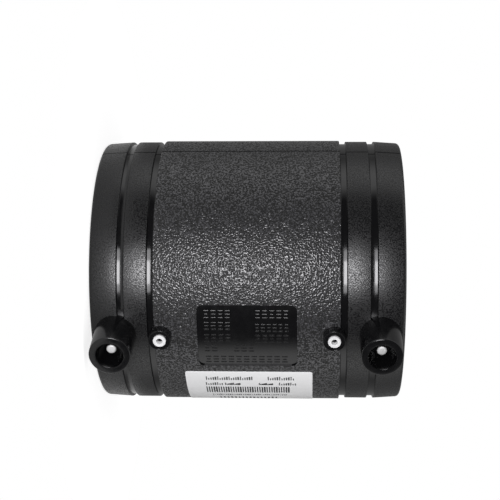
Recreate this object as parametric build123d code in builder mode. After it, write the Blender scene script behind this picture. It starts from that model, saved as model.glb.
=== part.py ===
from build123d import *
import os
from math import cos, radians, sin, tan

# Electrofusion coupler for 90 mm polyethylene pressure pipe, SDR 11. Millimetres.
# The bore axis is Z and the coupler stands on its lower end face at Z = 0.
# The terminals and the fusion indicators face -Y. Angles are about Z from +X.

# Driving sizes
length = 128.0            # end face to end face
bore_radius = 45.5        # socket wall, a close fit on 90 mm pipe
wall = 11.5               # out to the grained grip band
terminal_angle = -90.0    # side that the terminals and indicators face

# Outside of the moulding, as distances from the middle of the length
grain_half = 37.8         # the grained band ends here
ring_start = 40.6         # the smooth ring band between the two grooves
ring_end = 49.8
collar_start = 52.8       # the end collar runs from here to the end face
band_drop = 0.45          # the ring bands and collars lie this far below the grain
groove_depth = 1.0        # below the ring bands
groove_slope = 0.25       # run of each sloping groove side
taper_drop = 0.75         # narrowing of the collar towards the end face
corner = 1.4              # chamfer at each end face

# Inside of the moulding
stop_half = 2.0           # the centre stop, a low ring that both pipe ends meet
stop_height = 2.4
lead_in = 1.2             # chamfer at each socket mouth

# Heating winding: coated wire wound turn against turn into a band in each fusion zone
winding_near = 19.3       # from the middle of the length
winding_far = 56.0
winding_thickness = 1.2
wire_radius = 0.45        # of the run that joins the two bands

# Terminal shrouds
terminal_offset = 53.9    # from the middle of the length
shroud_radius = 8.4
shroud_height = 15.5      # mouth above the grip band
shroud_draft = 0.5        # degrees, wider at the root
shroud_rim = 0.5          # chamfer on the outer edge of the mouth
well_radius = 5.65
well_depth = 13.5
root_clearance = 3.8      # shrouds and bosses start this far outside the winding

# Terminal pins, standard 4 mm
pin_radius = 2.0
pin_recess = 4.7          # tip below the shroud mouth
pin_nose = 0.7            # chamfer at the tip
pin_shank_radius = 1.6    # the part that the moulding grips

# Fusion indicators
indicator_offset = 35.3   # from the middle of the length
boss_radius = 4.2
boss_height = 3.9
bush_radius = 2.6
bush_hole_radius = 1.25
bush_depth = 2.4
bush_proud = 0.25
bush_rim = 0.35           # chamfer on its outer edge
nub_radius = 0.75
nub_height = 1.5

# Recessed data plate, and the label beside it
plate_length = 40.6
plate_arc = 30.5          # degrees
plate_turn = 1.15         # from the terminals' direction
plate_depth = 0.6
plate_corner = 2.5
label_length = 53.0
label_arc = 38.7          # degrees
label_turn = 39.1
label_corner = 1.0
label_thickness = 0.2

middle = length / 2
outer_radius = bore_radius + wall
band_radius = outer_radius - band_drop
groove_radius = band_radius - groove_depth
taper_radius = band_radius - taper_drop
winding_radius = bore_radius + winding_thickness
wire_reach = bore_radius + winding_thickness / 2
shroud_mouth = outer_radius + shroud_height
well_floor = shroud_mouth - well_depth
root_radius = winding_radius + root_clearance
pin_tip = shroud_mouth - pin_recess
boss_face = outer_radius + boss_height
bush_seat = boss_face - bush_depth
ends = {"lower": -1, "upper": 1}


def facing(angle, reach, z):
    """A plane at a distance from the bore axis, facing outwards, with its x axis around the coupler."""
    around = (-sin(radians(angle)), cos(radians(angle)), 0)
    outwards = (cos(radians(angle)), sin(radians(angle)), 0)
    return Plane(origin=(reach * outwards[0], reach * outwards[1], z), x_dir=around, z_dir=outwards)


def chord(arc, radius):
    """Width of an arc, given in degrees, seen square on."""
    return 2 * radius * sin(radians(arc / 2))


def turned(angle, z):
    """The plane to sketch a turned piece on, with its reach as y, and the axis to revolve it about."""
    outwards = (cos(radians(angle)), sin(radians(angle)), 0)
    square_on = (-sin(radians(angle)), cos(radians(angle)), 0)
    return Plane(origin=(0, 0, z), x_dir=(0, 0, 1), z_dir=square_on), Axis((0, 0, z), outwards)


# Heating winding: one band in each fusion zone, joined by a straight run of the wire behind the
# centre stop.
with BuildPart() as heating_winding:
    for side in ends.values():
        with Locations((0, 0, middle + side * (winding_near + winding_far) / 2)):
            Cylinder(winding_radius, winding_far - winding_near)
            Cylinder(bore_radius, winding_far - winding_near, mode=Mode.SUBTRACT)
    run = facing(terminal_angle, wire_reach, middle)
    with BuildSketch(Plane(origin=run.origin, x_dir=run.x_dir, z_dir=(0, 0, 1))):
        Circle(wire_radius)
    extrude(amount=winding_near + wire_radius, both=True)

# Terminal pins: turned from brass and tinned, with a shank that passes through the wall to the winding.
pins = {}
for end, side in ends.items():
    plane, axis = turned(terminal_angle, middle + side * terminal_offset)
    with BuildPart() as pin:
        with BuildSketch(plane):
            with BuildLine():
                Polyline(
                    (0, winding_radius),
                    (pin_shank_radius, winding_radius),
                    (pin_shank_radius, well_floor),
                    (pin_radius, well_floor),
                    (pin_radius, pin_tip - pin_nose),
                    (pin_radius - pin_nose, pin_tip),
                    (0, pin_tip),
                    close=True,
                )
            make_face()
        revolve(axis=axis)
    pins[end] = pin.part

# Indicator bushes: white rings pressed into the bosses round the rising nubs.
bushes = {}
for end, side in ends.items():
    plane, axis = turned(terminal_angle, middle + side * indicator_offset)
    with BuildPart() as bush:
        with BuildSketch(plane):
            with BuildLine():
                Polyline(
                    (bush_hole_radius, bush_seat),
                    (bush_radius, bush_seat),
                    (bush_radius, boss_face + bush_proud - bush_rim),
                    (bush_radius - bush_rim, boss_face + bush_proud),
                    (bush_hole_radius, boss_face + bush_proud),
                    close=True,
                )
            make_face()
        revolve(axis=axis)
    bushes[end] = bush.part

# Data plate recess: a rounded rectangle pressed into the grain, with a floor that follows the barrel.
with BuildPart() as plate_recess:
    with BuildSketch(facing(terminal_angle + plate_turn, winding_radius, middle)):
        RectangleRounded(chord(plate_arc, outer_radius), plate_length, plate_corner)
    extrude(amount=outer_radius)
    with Locations((0, 0, middle)):
        Cylinder(outer_radius - plate_depth, length, mode=Mode.SUBTRACT)

# Body: one polyethylene moulding with both sockets, the centre stop, grip band, grooves, terminal
# shrouds and indicator bosses.
with BuildPart() as body:
    with BuildSketch(Plane.XZ):
        with BuildLine():
            Polyline(
                (bore_radius, middle + stop_half),
                (bore_radius, length - lead_in),
                (bore_radius + lead_in, length),
                (taper_radius - corner, length),
                (taper_radius, length - corner),
                (band_radius, middle + collar_start),
                (groove_radius, middle + collar_start - groove_slope),
                (groove_radius, middle + ring_end + groove_slope),
                (band_radius, middle + ring_end),
                (band_radius, middle + ring_start),
                (groove_radius, middle + ring_start - groove_slope),
                (groove_radius, middle + grain_half + groove_slope),
                (outer_radius, middle + grain_half),
                (outer_radius, middle),
                (bore_radius - stop_height, middle),
                (bore_radius - stop_height, middle + stop_half),
                close=True,
            )
        make_face()
        mirror(about=Plane.XZ.offset(-middle))
    revolve(axis=Axis.Z)
    add(plate_recess.part, mode=Mode.SUBTRACT)

    # Terminal shrouds, drafted so that the mould opens, each with a deep well for its pin.
    for side in ends.values():
        plane, axis = turned(terminal_angle, middle + side * terminal_offset)
        with BuildSketch(plane):
            with BuildLine():
                Polyline(
                    (0, root_radius),
                    (shroud_radius + (shroud_mouth - root_radius) * tan(radians(shroud_draft)), root_radius),
                    (shroud_radius, shroud_mouth - shroud_rim),
                    (shroud_radius - shroud_rim, shroud_mouth),
                    (well_radius, shroud_mouth),
                    (well_radius, well_floor),
                    (0, well_floor),
                    close=True,
                )
            make_face()
        revolve(axis=axis)

    # Indicator bosses, each with a seat for its bush and a nub that rises as the joint melts.
    for side in ends.values():
        z = middle + side * indicator_offset
        with BuildSketch(facing(terminal_angle, root_radius, z)):
            Circle(boss_radius)
        extrude(amount=boss_face - root_radius)
        with BuildSketch(facing(terminal_angle, boss_face, z)):
            Circle(bush_radius)
        extrude(amount=-bush_depth, mode=Mode.SUBTRACT)
        with BuildSketch(facing(terminal_angle, bush_seat, z)):
            Circle(nub_radius)
        extrude(amount=nub_height)

    # Room for what is moulded in.
    add(heating_winding.part, mode=Mode.SUBTRACT)
    for pin_part in pins.values():
        add(pin_part, mode=Mode.SUBTRACT)

# Label: a thin plastic sticker that follows the barrel.
with BuildPart() as label:
    with BuildSketch(facing(terminal_angle + label_turn, winding_radius, middle)):
        RectangleRounded(chord(label_arc, outer_radius), label_length, label_corner)
    extrude(amount=outer_radius)
    with Locations((0, 0, middle)):
        Cylinder(outer_radius, length, mode=Mode.SUBTRACT)
        Cylinder(outer_radius + label_thickness, length, mode=Mode.INTERSECT)

nodes = {
    "body": body.part,
    "heating_winding": heating_winding.part,
    "terminal_pin_lower": pins["lower"],
    "terminal_pin_upper": pins["upper"],
    "indicator_bush_lower": bushes["lower"],
    "indicator_bush_upper": bushes["upper"],
    "label": label.part,
}
os.makedirs("parts", exist_ok=True)
for name, solid in nodes.items():
    solid.label = name
    export_step(solid, f"parts/{name}.step")
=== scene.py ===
from math import cos, hypot, pi, radians, sin

import bmesh
import bpy
from mathutils import Matrix, Vector


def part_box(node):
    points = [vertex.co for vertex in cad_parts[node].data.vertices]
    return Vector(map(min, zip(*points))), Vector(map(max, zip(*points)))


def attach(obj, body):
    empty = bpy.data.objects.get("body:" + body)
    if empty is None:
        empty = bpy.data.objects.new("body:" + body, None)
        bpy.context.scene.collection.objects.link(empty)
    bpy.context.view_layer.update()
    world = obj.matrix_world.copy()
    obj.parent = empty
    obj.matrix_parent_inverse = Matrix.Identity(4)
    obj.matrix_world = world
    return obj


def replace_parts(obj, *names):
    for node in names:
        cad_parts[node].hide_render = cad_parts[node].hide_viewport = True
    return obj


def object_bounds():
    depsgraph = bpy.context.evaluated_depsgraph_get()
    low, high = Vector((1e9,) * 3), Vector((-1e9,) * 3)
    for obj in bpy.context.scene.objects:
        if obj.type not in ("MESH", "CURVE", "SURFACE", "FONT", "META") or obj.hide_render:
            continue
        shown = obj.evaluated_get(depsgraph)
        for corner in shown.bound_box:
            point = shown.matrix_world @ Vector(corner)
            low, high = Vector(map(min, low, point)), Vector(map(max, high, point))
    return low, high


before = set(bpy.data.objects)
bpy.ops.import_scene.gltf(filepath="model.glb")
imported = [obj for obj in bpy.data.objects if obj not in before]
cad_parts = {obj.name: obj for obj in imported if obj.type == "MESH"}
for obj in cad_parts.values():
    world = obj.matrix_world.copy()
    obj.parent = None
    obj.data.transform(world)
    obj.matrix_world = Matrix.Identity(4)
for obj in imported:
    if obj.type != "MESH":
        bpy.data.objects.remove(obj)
cad_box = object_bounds()

# ---------------------------------------------------------------------------------------------
# Heating winding
# Copper alloy wire in a thin black polyethylene coat, wound turn against turn round the core of
# the mould. The sleeve is moulded over it, so the inner half of each turn stays bare in the bore.
# ---------------------------------------------------------------------------------------------
mm = 0.001
lower_face, upper_face = cad_box[0][2], cad_box[1][2]
middle = (lower_face + upper_face) / 2
socket_radius = 45.5 * mm
winding_depth = 1.2 * mm
winding_near, winding_far = 19.3 * mm, 56.0 * mm
turn_pitch = 1.16 * mm
steps_round = 96
wire_sides = 8
run_radius = 0.45 * mm
weld = 0.0005 * mm


def finished(name, shape, slot, *finishes, sharp_above=35):
    """Makes a worked shape one piece of the coupler, smooth but for its sharp edges."""
    bmesh.ops.remove_doubles(shape, verts=shape.verts[:], dist=weld)
    bmesh.ops.recalc_face_normals(shape, faces=shape.faces[:])
    mesh = bpy.data.meshes.new(name)
    shape.to_mesh(mesh)
    shape.free()
    mesh.shade_smooth()
    mesh.set_sharp_from_angle(angle=radians(sharp_above))
    for finish in finishes:
        mesh.materials.append(finish)
    piece = bpy.data.objects.new(name, mesh)
    bpy.context.scene.collection.objects.link(piece)
    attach(piece, "root")
    return piece


def add_node(tree, kind, settings=None, **inputs):
    """Adds a shader node, with plain numbers or other nodes' outputs on its inputs, which are
    named, or numbered as _0, _1 and so on."""
    node = tree.nodes.new(kind)
    for setting, value in (settings or {}).items():
        setattr(node, setting, value)
    for wanted, value in inputs.items():
        numbered = wanted[1:].isdigit()
        socket = node.inputs[int(wanted[1:]) if numbered else wanted.replace("_", " ")]
        if isinstance(value, bpy.types.NodeSocket):
            tree.links.new(value, socket)
        else:
            socket.default_value = value
    return node


def maths(tree, operation, first, second=0.0, third=0.0):
    """One sum on one, two or three values."""
    settings = {"operation": operation}
    return add_node(
        tree, "ShaderNodeMath", settings, _0=first, _1=second, _2=third
    ).outputs["Value"]


def ramp(tree, value, start, stop, low=0.0, high=1.0):
    """A soft step from low to high as the value goes from start to stop."""
    settings = {"interpolation_type": "SMOOTHSTEP"}
    return add_node(
        tree, "ShaderNodeMapRange", settings,
        Value=value, From_Min=start, From_Max=stop, To_Min=low, To_Max=high,
    ).outputs["Result"]


def noise(tree, place, size, detail=2.0, roughness=0.5):
    """Cloudy variation whose lumps are about the given size."""
    return add_node(
        tree, "ShaderNodeTexNoise", None,
        Vector=place, Scale=1 / size, Detail=detail, Roughness=roughness,
    ).outputs["Fac"]


def relief(tree, height, depth, over=None):
    """Surface relief of the given depth, laid over any coarser relief."""
    inputs = {"Strength": 1.0, "Distance": depth, "Height": height}
    if over is not None:
        inputs["Normal"] = over
    return add_node(tree, "ShaderNodeBump", None, **inputs).outputs["Normal"]


def tint(tree, factor, first, second):
    """A colour between two, by a factor."""
    node = add_node(tree, "ShaderNodeMix", {"data_type": "RGBA"}, _0=factor)
    node.inputs[6].default_value = (*first, 1)
    node.inputs[7].default_value = (*second, 1)
    return node.outputs[2]


def new_finish(name, **inputs):
    """A material with its shader and the place on the coupler that its pattern is drawn by."""
    material = bpy.data.materials.new(name)
    material.use_nodes = True
    tree = material.node_tree
    shader = tree.nodes["Principled BSDF"]
    for wanted, value in inputs.items():
        shader.inputs[wanted.replace("_", " ")].default_value = value
    place = tree.nodes.new("ShaderNodeTexCoord").outputs["Object"]
    return material, tree, shader, place


coated_wire, tree, shader, place = new_finish("coated_wire", IOR=1.5)
x, y, _ = add_node(tree, "ShaderNodeSeparateXYZ", None, Vector=place).outputs
squares = maths(tree, "ADD", maths(tree, "MULTIPLY", x, x), maths(tree, "MULTIPLY", y, y))
from_axis = maths(tree, "SQRT", squares)
thin_coat = ramp(tree, from_axis, socket_radius + 0.22 * mm, socket_radius + 0.02 * mm)
patchy = noise(tree, place, 4 * mm, detail=4)
bare = maths(tree, "MULTIPLY", thin_coat, ramp(tree, patchy, 0.3, 0.75))
coat_black, copper = (0.012, 0.011, 0.011), (0.20, 0.085, 0.045)
scuffs = noise(tree, place, 0.6 * mm, detail=3)
tree.links.new(tint(tree, bare, coat_black, copper), shader.inputs["Base Color"])
tree.links.new(ramp(tree, bare, 0.0, 1.0, 0.38, 0.27), shader.inputs["Roughness"])
tree.links.new(relief(tree, scuffs, 0.03 * mm), shader.inputs["Normal"])

# Each turn just clears the next, and the sleeve behind it.
wire_radius = winding_depth / 2 - 0.03 * mm
wire_centre = socket_radius + winding_depth / 2
turns = int((winding_far - winding_near - 2 * wire_radius) / turn_pitch)
winding = bmesh.new()
for side in (-1, 1):
    start = Matrix.Translation((wire_centre, 0, middle + side * (winding_near + wire_radius)))
    section = bmesh.ops.create_circle(
        winding,
        segments=wire_sides,
        radius=wire_radius,
        matrix=start @ Matrix.Rotation(pi / 2, 4, "X"),
    )["verts"]
    bmesh.ops.spin(
        winding,
        geom=section + list({edge for vertex in section for edge in vertex.link_edges}),
        cent=(0, 0, 0),
        axis=(0, 0, 1),
        dvec=(0, 0, side * turn_pitch / steps_round),
        angle=2 * pi,
        steps=steps_round,
    )
    everything = winding.verts[:] + winding.edges[:] + winding.faces[:]
    one_turn = [part for part in everything if not part.tag]
    for number in range(1, turns):
        copy = bmesh.ops.duplicate(winding, geom=one_turn)["geom"]
        shifted = [part for part in copy if isinstance(part, bmesh.types.BMVert)]
        bmesh.ops.translate(winding, verts=shifted, vec=(0, 0, side * turn_pitch * number))
    for part in winding.verts[:] + winding.edges[:] + winding.faces[:]:
        part.tag = True
bmesh.ops.remove_doubles(winding, verts=winding.verts[:], dist=2 * weld)
bmesh.ops.holes_fill(winding, edges=winding.edges[:], sides=wire_sides)

# Straight run of wire past the stop, from the one zone to the other.
bmesh.ops.create_cone(
    winding,
    cap_ends=True,
    segments=wire_sides,
    radius1=run_radius,
    radius2=run_radius,
    depth=2 * (winding_near + wire_radius),
    matrix=Matrix.Translation((0, -wire_centre, middle)),
)
winding = finished("winding", winding, "coated_winding", coated_wire, sharp_above=60)
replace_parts(winding, "heating_winding")

# ---------------------------------------------------------------------------------------------
# Terminal pins
# Turned from brass and tin plated, bright on the rounded nose that finds the welding lead's
# socket and dulled down the shank. The foot is held in the moulding, on the winding's last turns.
# ---------------------------------------------------------------------------------------------
pin_radius = 2.0 * mm
shank_radius = 1.6 * mm
well_floor = 59.0 * mm
nose_round = 0.7 * mm
bright_end = 0.5 * mm
pin_steps = 64


def turned(outline, rounds, z, steps):
    """A shape turned about the line through z that points out at the terminals' side. The outline
    is given as radius and reach from the bore axis, with a round on each corner or none."""
    shape = bmesh.new()
    corners = [shape.verts.new((radius, -reach, z)) for radius, reach in outline]
    for first, second in zip(corners, corners[1:]):
        shape.edges.new((first, second))
    round_corners(shape, corners, rounds)
    bmesh.ops.spin(
        shape,
        geom=shape.verts[:] + shape.edges[:],
        cent=(0, 0, z),
        axis=(0, 1, 0),
        angle=2 * pi,
        steps=steps,
        use_merge=True,
    )
    bmesh.ops.remove_doubles(shape, verts=shape.verts[:], dist=weld)
    bmesh.ops.recalc_face_normals(shape, faces=shape.faces[:])
    return shape


def round_corners(shape, corners, rounds):
    """Rounds the corners of an outline, each by its own amount."""
    for corner, amount in zip(corners, rounds):
        if amount:
            bmesh.ops.bevel(
                shape,
                geom=[corner],
                offset=amount,
                offset_type="OFFSET",
                affect="VERTICES",
                segments=5,
                profile=0.5,
                material=-1,
            )


dulled, tree, shader, place = new_finish("dulled_plate", Metallic=1.0)
smoky = noise(tree, place, 0.9 * mm, detail=4)
tin_grey, tin_smoke = (0.34, 0.33, 0.30), (0.24, 0.23, 0.21)
tree.links.new(tint(tree, smoky, tin_grey, tin_smoke), shader.inputs["Base Color"])
tree.links.new(ramp(tree, smoky, 0.3, 0.7, 0.30, 0.42), shader.inputs["Roughness"])
tree.links.new(relief(tree, smoky, 0.01 * mm), shader.inputs["Normal"])

tin_plate, tree, shader, place = new_finish("tin_plate", Metallic=0.6)
dull = noise(tree, place, 0.9 * mm, detail=5, roughness=0.6)
tin_bright, tin_dull = (0.95, 0.95, 0.94), (0.86, 0.86, 0.85)
tree.links.new(tint(tree, dull, tin_bright, tin_dull), shader.inputs["Base Color"])
tree.links.new(ramp(tree, dull, 0.3, 0.7, 0.55, 0.66), shader.inputs["Roughness"])
grit = noise(tree, place, 0.25 * mm, detail=3)
tree.links.new(relief(tree, grit, 0.012 * mm), shader.inputs["Normal"])

for end in ("lower", "upper"):
    node = "terminal_pin_" + end
    low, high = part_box(node)
    foot, tip = -high.y, -low.y
    outline = [
        (0, foot),
        (shank_radius, foot),
        (shank_radius, well_floor),
        (pin_radius, well_floor),
        (pin_radius, tip),
        (0, tip),
    ]
    pin = turned(outline, (0, 0, 0, 0, nose_round, 0), (low.z + high.z) / 2, pin_steps)
    for face in pin.faces:
        face.material_index = -face.calc_center_median().y > tip - bright_end
    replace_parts(finished("pin_" + end, pin, "tinned_brass", dulled, tin_plate), node)

# ---------------------------------------------------------------------------------------------
# Sleeve moulding
# One injection moulding in black pipe-grade polyethylene over the winding and pins: the barrel
# with its grained grip, smooth grooves and finely sparked bands, two shrouds and two bosses.
# ---------------------------------------------------------------------------------------------
grip_radius = 57.0 * mm
band_radius = 56.55 * mm
groove_radius = 55.55 * mm
end_radius = 55.8 * mm
grain_end = 37.8 * mm
band_start, band_end = 40.6 * mm, 49.8 * mm
collar_start = 52.8 * mm
groove_slope = 0.25 * mm
stop_radius, stop_half = 43.1 * mm, 2.0 * mm
lead_in = 1.2 * mm
stop_round, mouth_round, end_round = 0.3 * mm, 0.2 * mm, 1.5 * mm
lip_round, groove_round = 0.18 * mm, 0.12 * mm
barrel_steps = 288

# Half of the sleeve's section, as radius, reach from the middle and round of each corner.
half_length = upper_face - middle
half_outline = [
    (stop_radius, 0, 0),
    (stop_radius, stop_half, stop_round),
    (socket_radius, stop_half, 0),
    (socket_radius, winding_near, 0),
    (socket_radius + winding_depth, winding_near, 0),
    (socket_radius + winding_depth, winding_far, 0),
    (socket_radius, winding_far, 0),
    (socket_radius, half_length - lead_in, mouth_round),
    (socket_radius + lead_in, half_length, mouth_round),
    (end_radius, half_length, end_round),
    (band_radius, collar_start, lip_round),
    (groove_radius, collar_start - groove_slope, groove_round),
    (groove_radius, band_end + groove_slope, groove_round),
    (band_radius, band_end, lip_round),
    (band_radius, band_start, lip_round),
    (groove_radius, band_start - groove_slope, groove_round),
    (groove_radius, grain_end + groove_slope, groove_round),
    (grip_radius, grain_end, lip_round),
    (grip_radius, 0, 0),
]
barrel = bmesh.new()
corners = [barrel.verts.new((radius, 0, middle + along)) for radius, along, _ in half_outline]
for first, second in zip(corners, corners[1:]):
    barrel.edges.new((first, second))
round_corners(barrel, corners, [amount for _, _, amount in half_outline])
bmesh.ops.mirror(
    barrel,
    geom=barrel.verts[:] + barrel.edges[:],
    matrix=Matrix.Translation((0, 0, -middle)),
    merge_dist=2 * weld,
    axis="Z",
)
bmesh.ops.spin(
    barrel,
    geom=barrel.verts[:] + barrel.edges[:],
    cent=(0, 0, 0),
    axis=(0, 0, 1),
    angle=2 * pi,
    steps=barrel_steps,
    use_merge=True,
)
bmesh.ops.recalc_face_normals(barrel, faces=barrel.faces[:])

# Parting line, a fine groove down both sides where the two halves of the mould met.
parting_half = 0.36 * mm
parting_depth = 0.42 * mm
skin = 54.5 * mm
on_line = 0.01 * mm


def cut(shape, place, direction):
    """Cuts all of a shape's faces along a plane."""
    bmesh.ops.bisect_plane(
        shape,
        geom=shape.verts[:] + shape.edges[:] + shape.faces[:],
        plane_co=place,
        plane_no=direction,
        dist=0.0001 * mm,
    )


for edge_of_line in (-parting_half, parting_half):
    cut(barrel, (0, edge_of_line, 0), (0, 1, 0))
for vertex in barrel.verts:
    if abs(vertex.co.y) < on_line and abs(vertex.co.x) > skin:
        vertex.co.x -= parting_depth if vertex.co.x > 0 else -parting_depth

black, faded_black = (0.004, 0.004, 0.0045), (0.006, 0.006, 0.0065)

grained, tree, shader, place = new_finish("grained_polyethylene", IOR=1.5)
lumps = noise(tree, place, 0.68 * mm, detail=0)
crests = ramp(tree, lumps, 0.40, 0.66)
# Painted shade: the grain's valleys are painted near black and its crests lighter, as if shade
# fell in the valleys.
painted_valley_shade, unshaded_crest = (0.002, 0.002, 0.002), (0.062, 0.062, 0.065)
tree.links.new(tint(tree, crests, painted_valley_shade, unshaded_crest), shader.inputs["Base Color"])
tree.links.new(ramp(tree, lumps, 0.42, 0.55, 0.55, 0.06), shader.inputs["Roughness"])
tree.links.new(relief(tree, lumps, 0.26 * mm), shader.inputs["Normal"])

sparked, tree, shader, place = new_finish("sparked_polyethylene", IOR=1.5)
pits = noise(tree, place, 0.5 * mm, detail=1, roughness=0.6)
tree.links.new(tint(tree, pits, black, (0.010, 0.010, 0.0105)), shader.inputs["Base Color"])
tree.links.new(ramp(tree, pits, 0.4, 0.6, 0.5, 0.2), shader.inputs["Roughness"])
tree.links.new(relief(tree, pits, 0.06 * mm), shader.inputs["Normal"])

polished, tree, shader, place = new_finish("polished_polyethylene", IOR=1.5)
round_barrel = add_node(tree, "ShaderNodeMapping", None, Vector=place, Scale=(0.05, 0.05, 1.0))
tool_marks = noise(tree, round_barrel.outputs[0], 0.35 * mm, detail=2)
cloudy = noise(tree, place, 6 * mm, detail=2)
tree.links.new(tint(tree, cloudy, black, faded_black), shader.inputs["Base Color"])
tree.links.new(ramp(tree, cloudy, 0.3, 0.7, 0.09, 0.14), shader.inputs["Roughness"])
tree.links.new(relief(tree, tool_marks, 0.005 * mm), shader.inputs["Normal"])

satin, tree, shader, place = new_finish("satin_polyethylene", IOR=1.5)
bloom = noise(tree, place, 2.5 * mm, detail=4)
orange_peel = noise(tree, place, 0.35 * mm, detail=3)
tree.links.new(tint(tree, bloom, black, faded_black), shader.inputs["Base Color"])
tree.links.new(ramp(tree, bloom, 0.3, 0.7, 0.14, 0.20), shader.inputs["Roughness"])
tree.links.new(relief(tree, orange_peel, 0.008 * mm), shader.inputs["Normal"])

cored, tree, shader, place = new_finish("cored_polyethylene", IOR=1.5)
along_bore = add_node(tree, "ShaderNodeMapping", None, Vector=place, Scale=(1.0, 1.0, 0.04))
draw_marks = noise(tree, along_bore.outputs[0], 0.7 * mm, detail=3)
tree.links.new(tint(tree, draw_marks, black, (0.007, 0.007, 0.0075)), shader.inputs["Base Color"])
tree.links.new(ramp(tree, draw_marks, 0.3, 0.7, 0.26, 0.38), shader.inputs["Roughness"])
tree.links.new(relief(tree, draw_marks, 0.012 * mm), shader.inputs["Normal"])

moulding_finishes = (grained, sparked, polished, satin, cored)
GRAINED, SPARKED, POLISHED, SATIN, CORED = range(5)
inside = 50 * mm
for face in barrel.faces:
    spot = face.calc_center_median()
    along = abs(spot.z - middle)
    if hypot(spot.x, spot.y) < inside:
        face.material_index = CORED
    elif abs(spot.y) < parting_half:
        face.material_index = SATIN
    elif along < grain_end:
        face.material_index = GRAINED
    elif along < band_start or band_end < along < collar_start:
        face.material_index = POLISHED
    else:
        face.material_index = SPARKED

# Recess for the data plate, pressed 0.6 mm into the grain.
terminal_side = -90
plate_turn, plate_arc = 1.15, radians(30.5)
plate_angle = terminal_side + plate_turn
plate_radius = 56.4 * mm
plate_length = 40.6 * mm
plate_width = 2 * grip_radius * sin(plate_arc / 2)
plate_corner = 2.5 * mm
above_grip = 1 * mm
bend_step = radians(1.25)


def bent_sheet(patches, inner, outer, angle, edge_round=0.0):
    """Thin pads that follow the barrel. Each patch is a place and a size, round the barrel and
    along it, and the round of its corners. Cuts at each small step let them bend."""
    shape = bmesh.new()
    for across, along, width, length, corner in patches:
        pad = bmesh.ops.create_grid(shape, x_segments=1, y_segments=1, size=0.5)["verts"]
        bmesh.ops.scale(shape, verts=pad, vec=(width, length, 1))
        bmesh.ops.translate(shape, verts=pad, vec=(across, along, 0))
        if corner:
            bmesh.ops.bevel(
                shape,
                geom=pad,
                offset=corner,
                affect="VERTICES",
                segments=5,
                profile=0.5,
                material=-1,
            )
    raised = bmesh.ops.extrude_face_region(shape, geom=shape.faces[:])["geom"]
    tops = [part for part in raised if isinstance(part, bmesh.types.BMVert)]
    bmesh.ops.translate(shape, verts=tops, vec=(0, 0, outer - inner))
    if edge_round:
        rims = [edge for edge in shape.edges if all(vertex in tops for vertex in edge.verts)]
        bmesh.ops.bevel(
            shape,
            geom=rims,
            offset=edge_round,
            affect="EDGES",
            segments=2,
            profile=0.5,
            material=-1,
        )
    step = bend_step * outer
    reach = max(abs(vertex.co.x) for vertex in shape.verts)
    bend = -int(reach / step) * step
    while bend < reach:
        cut(shape, (bend, 0, 0), (1, 0, 0))
        bend += step
    for vertex in shape.verts:
        around = radians(angle) + vertex.co.x / outer
        out = inner + vertex.co.z
        vertex.co = Vector((out * cos(around), out * sin(around), vertex.co.y))
    bmesh.ops.recalc_face_normals(shape, faces=shape.faces[:])
    return shape


recess = bent_sheet(
    [(0, middle, plate_width, plate_length, plate_corner)],
    plate_radius,
    grip_radius + above_grip,
    plate_angle,
)
for face in recess.faces:
    face.material_index = SATIN

# Terminal shrouds and indicator bosses, in the same moulding as the barrel. The shrouds taper to
# their mouths, and each boss has a fine lip round its face and a nub in the middle of its seat.
root = 50.5 * mm
shroud_offset = 53.9 * mm
shroud_mouth = 72.5 * mm
shroud_foot_radius, shroud_mouth_radius = 8.59 * mm, 8.4 * mm
well_radius = 5.65 * mm
shroud_rim, well_rim = 0.5 * mm, 0.1 * mm
shroud_steps = 96
boss_offset = 35.3 * mm
boss_rim = 60.9 * mm
boss_face = boss_rim - 0.3 * mm
boss_radius, rim_radius = 4.6 * mm, 4.15 * mm
rim_round = 0.15 * mm
bush_seat = 58.5 * mm
bush_radius = 2.6 * mm
nub_radius, nub_round = 0.95 * mm, 0.2 * mm
nub_top = bush_seat + 1.5 * mm
boss_steps = 64
shroud_outline = [
    (0, root),
    (shroud_foot_radius, root),
    (shroud_mouth_radius, shroud_mouth),
    (well_radius, shroud_mouth),
    (well_radius, well_floor),
    (0, well_floor),
]
shroud_rounds = (0, 0, shroud_rim, well_rim, 0, 0)
boss_outline = [
    (0, root),
    (boss_radius, root),
    (boss_radius, boss_rim),
    (rim_radius, boss_rim),
    (rim_radius, boss_face),
    (bush_radius, boss_face),
    (bush_radius, bush_seat),
    (nub_radius, bush_seat),
    (nub_radius, nub_top),
    (0, nub_top),
]
boss_rounds = (0, 0, rim_round, rim_round, 0, 0, 0, 0, nub_round, 0)
fittings = []
for side in (-1, 1):
    shroud_z, boss_z = middle + side * shroud_offset, middle + side * boss_offset
    fittings.append(turned(shroud_outline, shroud_rounds, shroud_z, shroud_steps))
    fittings.append(turned(boss_outline, boss_rounds, boss_z, boss_steps))
for fitting in fittings:
    for face in fitting.faces:
        face.material_index = SATIN

# The recess is cut from the barrel and the fittings are joined to it.
moulding = finished("sleeve_moulding", barrel, "black_polyethylene", *moulding_finishes)
joins = [(recess, "DIFFERENCE")] + [(fitting, "UNION") for fitting in fittings]
tools = []
for number, (shape, operation) in enumerate(joins):
    mesh = bpy.data.meshes.new(f"tool_{number}")
    shape.to_mesh(mesh)
    shape.free()
    for finish in moulding_finishes:
        mesh.materials.append(finish)
    tool = bpy.data.objects.new(f"tool_{number}", mesh)
    bpy.context.scene.collection.objects.link(tool)
    join = moulding.modifiers.new(f"join_{number}", "BOOLEAN")
    join.object = tool
    join.operation = operation
    join.solver = "EXACT"
    tools.append(tool)
bpy.context.view_layer.update()
depsgraph = bpy.context.evaluated_depsgraph_get()
joined = bpy.data.meshes.new_from_object(moulding.evaluated_get(depsgraph))
welded = bmesh.new()
welded.from_mesh(joined)
bmesh.ops.remove_doubles(welded, verts=welded.verts[:], dist=weld)
welded.to_mesh(joined)
welded.free()
moulding.modifiers.clear()
moulding.data = joined
joined.shade_smooth()
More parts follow.
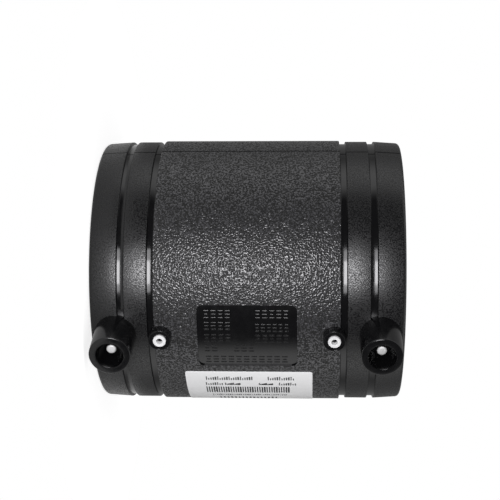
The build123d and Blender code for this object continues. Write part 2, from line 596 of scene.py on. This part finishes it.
joined.set_sharp_from_angle(angle=radians(28))
for tool in tools:
    bpy.data.objects.remove(tool)
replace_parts(moulding, "body")

# Raised marks on the data plate, left as plain bars. Each row of them is given as its place
# across the plate, its start and length along it in millimetres, and how many cells it has.
bar_rows = (
    (-10.6, -18.0, 11.6, 4),
    (-10.6, 2.9, 14.3, 5),
    (-5.4, -18.0, 11.6, 4),
    (-4.6, 2.9, 14.3, 6),
    (0.2, -18.0, 11.6, 4),
    (0.4, 2.9, 14.3, 5),
    (5.3, -18.0, 6.0, 2),
    (5.3, -6.0, 9.0, 3),
    (11.4, -17.8, 34.5, 11),
)
bar_height, bar_corner, bar_round = 0.5 * mm, 0.12 * mm, 0.1 * mm
bar_foot, bar_top = plate_radius - 0.05 * mm, plate_radius + 0.25 * mm
bars = []
for across, along, length, cells in bar_rows:
    cell = length / cells
    for number in range(cells):
        spot = middle + (along + (number + 0.5) * cell) * mm
        for level in (-1.5, 0.0, 1.5):
            width = cell * (0.72 if (number + level) % 2 else 0.5)
            bars.append(((across + level) * mm, spot, bar_height, width * mm, bar_corner))
marks = bent_sheet(bars, bar_foot, bar_top, plate_angle, bar_round)
finished("plate_marks", marks, "black_polyethylene", satin)

# ---------------------------------------------------------------------------------------------
# Indicator bushes
# White plastic rings pressed into the bosses, so that the black nub in the middle is easy to see
# when it rises at the end of a weld.
# ---------------------------------------------------------------------------------------------
white_ring, tree, shader, place = new_finish("white_ring", IOR=1.5)
mottle = noise(tree, place, 1.2 * mm, detail=4)
ring_shade, ring_white = (0.86, 0.86, 0.86), (0.91, 0.91, 0.91)
matt = noise(tree, place, 0.3 * mm, detail=3)
tree.links.new(tint(tree, mottle, ring_shade, ring_white), shader.inputs["Base Color"])
tree.links.new(ramp(tree, mottle, 0.3, 0.7, 0.40, 0.52), shader.inputs["Roughness"])
tree.links.new(relief(tree, matt, 0.008 * mm), shader.inputs["Normal"])

bush_hole = 1.25 * mm
bush_proud = 0.45 * mm
step_radius, step_foot, step_depth = 2.0 * mm, 1.85 * mm, 0.15 * mm
bush_round, hole_round = 0.3 * mm, 0.12 * mm
bush_steps = 64
for end in ("lower", "upper"):
    node = "indicator_bush_" + end
    low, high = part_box(node)
    seat, face = -high.y, bush_proud - low.y
    outline = [
        (bush_hole, seat),
        (bush_radius, seat),
        (bush_radius, face),
        (step_radius, face),
        (step_foot, face - step_depth),
        (bush_hole, face - step_depth),
        (bush_hole, seat),
    ]
    rounds = (0, 0, bush_round, 0, 0, hole_round, 0)
    bush = turned(outline, rounds, (low.z + high.z) / 2, bush_steps)
    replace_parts(finished("bush_" + end, bush, "white_plastic", white_ring), node)

# ---------------------------------------------------------------------------------------------
# Label
# White satin film with an adhesive back, stuck round the barrel beside the plate. The printing is
# left as plain strokes and bars.
# ---------------------------------------------------------------------------------------------
label_length = 53.0 * mm
label_turn, label_arc = 39.1, radians(38.7)
label_angle = terminal_side + label_turn
label_face = 57.2 * mm
label_width = label_arc * label_face
label_back = grip_radius - 0.1 * mm
label_corner, label_edge = 1.0 * mm, 0.05 * mm

film, tree, shader, place = new_finish("label_film", IOR=1.45)
fibre = noise(tree, place, 7 * mm, detail=5, roughness=0.6)
film_shade, film_white = (0.90, 0.90, 0.90), (0.94, 0.94, 0.94)
slack = relief(tree, noise(tree, place, 9 * mm, detail=1), 0.12 * mm)
tooth = noise(tree, place, 0.3 * mm, detail=2)
tree.links.new(tint(tree, fibre, film_shade, film_white), shader.inputs["Base Color"])
tree.links.new(ramp(tree, fibre, 0.3, 0.7, 0.30, 0.42), shader.inputs["Roughness"])
tree.links.new(relief(tree, tooth, 0.004 * mm, over=slack), shader.inputs["Normal"])
sticker = bent_sheet(
    [(0, middle, label_width, label_length, label_corner)],
    label_back,
    label_face,
    label_angle,
    label_edge,
)
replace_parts(finished("sticker", sticker, "label_film", film, sharp_above=50), "label")

ink, tree, shader, place = new_finish("printing_ink", IOR=1.45)
worn = noise(tree, place, 0.5 * mm, detail=4, roughness=0.7)
ink_black, ink_grey = (0.015, 0.015, 0.016), (0.05, 0.05, 0.053)
tree.links.new(tint(tree, worn, ink_black, ink_grey), shader.inputs["Base Color"])
tree.links.new(ramp(tree, worn, 0.3, 0.7, 0.35, 0.5), shader.inputs["Roughness"])
tree.links.new(relief(tree, worn, 0.003 * mm), shader.inputs["Normal"])

# Rows of strokes, each given in millimetres as its place down from the label's upper edge, its
# height, its start and stop along the sleeve, and the spacing and thickness of its strokes.
stroke_rows = (
    (3.4, 2.7, 45.7, 65.9, 0.95, 0.46),
    (3.4, 2.7, 71.6, 83.4, 0.95, 0.46),
    (8.1, 2.5, 45.4, 53.0, 0.95, 0.46),
    (8.5, 2.0, 53.6, 60.8, 0.66, 0.50),
    (8.6, 1.8, 67.9, 74.2, 0.60, 0.52),
    (8.1, 2.5, 76.2, 84.1, 0.95, 0.46),
    (12.2, 6.6, 45.3, 82.0, 1.02, 0.52),
    (21.4, 1.8, 47.6, 80.0, 0.80, 0.40),
    (27.0, 5.5, 50.0, 77.0, 1.60, 0.60),
)
small_print = 4
shortening = (0.0, 0.3, 0.1, 0.45, 0.2)
widening = (0.0, 0.12, 0.0, 0.22, 0.05)
ink_sunk, ink_proud = 0.01 * mm, 0.012 * mm
top_edge = -label_width / 2
strokes = []
for down, height, start, stop, pitch, thick in stroke_rows:
    for number in range(int((stop - start) / pitch)):
        shorter = shortening[number * 3 % 5] * (height if height < small_print else 0)
        wider = widening[number * 2 % 5]
        strokes.append((
            top_edge + (down + height / 2 + shorter / 2) * mm,
            (start + (number + 0.5) * pitch) * mm,
            (height - shorter) * mm,
            (thick + wider) * mm,
            0,
        ))
printing = bent_sheet(strokes, label_face - ink_sunk, label_face + ink_proud, label_angle)
finished("printing", printing, "label_film", ink, sharp_above=50)

# ---------------------------------------------------------------------------------------------
# Studio
# A small round white stand in a white room, whose wall behind the camera is dark. In front of
# that wall hangs one soft lamp with a smaller, brighter heart.
# ---------------------------------------------------------------------------------------------
view_angle = radians(-118.456)
toward_camera = Vector((cos(view_angle), sin(view_angle), 0))
stand_radius = 0.122
stand_gap = 0.05 * mm

stand = bmesh.new()
bmesh.ops.create_circle(stand, cap_ends=True, segments=128, radius=stand_radius)
bmesh.ops.translate(stand, verts=stand.verts[:], vec=(0, 0, lower_face - stand_gap))
stand_mesh = bpy.data.meshes.new("stand")
stand.to_mesh(stand_mesh)
stand.free()
stand = bpy.data.objects.new("stand", stand_mesh)
bpy.context.scene.collection.objects.link(stand)
white_stand, tree, shader, _ = new_finish(
    "white_stand", Base_Color=(0.7, 0.7, 0.7, 1), Roughness=0.9, Specular_IOR_Level=0.0
)
rays = tree.nodes.new("ShaderNodeLightPath").outputs
mirrored = maths(tree, "MULTIPLY", rays["Is Glossy Ray"], 0.35)
seen = maths(tree, "MULTIPLY_ADD", rays["Is Camera Ray"], 0.76, mirrored)
glow = add_node(tree, "ShaderNodeEmission", None, Strength=seen)
both = add_node(tree, "ShaderNodeAddShader", None, _0=shader.outputs[0], _1=glow.outputs[0])
tree.links.new(both.outputs[0], tree.nodes["Material Output"].inputs["Surface"])
stand_mesh.materials.append(white_stand)

world = bpy.data.worlds.new("white_room")
bpy.context.scene.world = world
world.use_nodes = True
tree = world.node_tree
direction = tree.nodes.new("ShaderNodeTexCoord").outputs["Generated"]
settings = {"operation": "DOT_PRODUCT"}
facing = add_node(
    tree, "ShaderNodeVectorMath", settings, _0=direction, _1=toward_camera
).outputs["Value"]
side_walls = ramp(tree, facing, 0.45, 0.14, 0.045, 1.1)
far_wall = ramp(tree, facing, 0.0, -0.5, 1.0, 0.2)
room = maths(tree, "MULTIPLY", side_walls, far_wall)
rays = tree.nodes.new("ShaderNodeLightPath").outputs
strength = maths(tree, "MAXIMUM", room, rays["Is Camera Ray"])
tree.links.new(strength, tree.nodes["Background"].inputs["Strength"])
tree.nodes["Background"].inputs["Color"].default_value = (1, 1, 1, 1)

lamp_reach = 0.75
lamp_height = 0.025
for name, turn, width, height, energy in (
    ("soft_lamp", 1.5, 0.50, 0.27, 2.4),
    ("lamp_heart", 3.0, 0.26, 0.24, 2.1),
):
    lamp_angle = view_angle + radians(turn)
    lamp = bpy.data.lights.new(name, "AREA")
    lamp.shape = "RECTANGLE"
    lamp.size = width
    lamp.size_y = height
    lamp.energy = energy
    lamp.color = (0.98, 0.975, 1.0)
    lamp = bpy.data.objects.new(name, lamp)
    lamp.location = (lamp_reach * cos(lamp_angle), lamp_reach * sin(lamp_angle), lamp_height)
    lamp.rotation_euler = (pi / 2, 0, lamp_angle + pi / 2)
    bpy.context.scene.collection.objects.link(lamp)

camera = bpy.data.cameras.new("camera")
camera.lens = 87.71
camera.sensor_width = 36
camera.clip_start = 0.01
camera = bpy.data.objects.new("camera", camera)
camera.location = (-0.259031, -0.477950, 0.090374)
camera.rotation_euler = (radians(-2.22128), radians(-87.06415), radians(64.66908))
bpy.context.scene.collection.objects.link(camera)
bpy.context.scene.camera = camera
bpy.context.scene.view_settings.view_transform = "Standard"
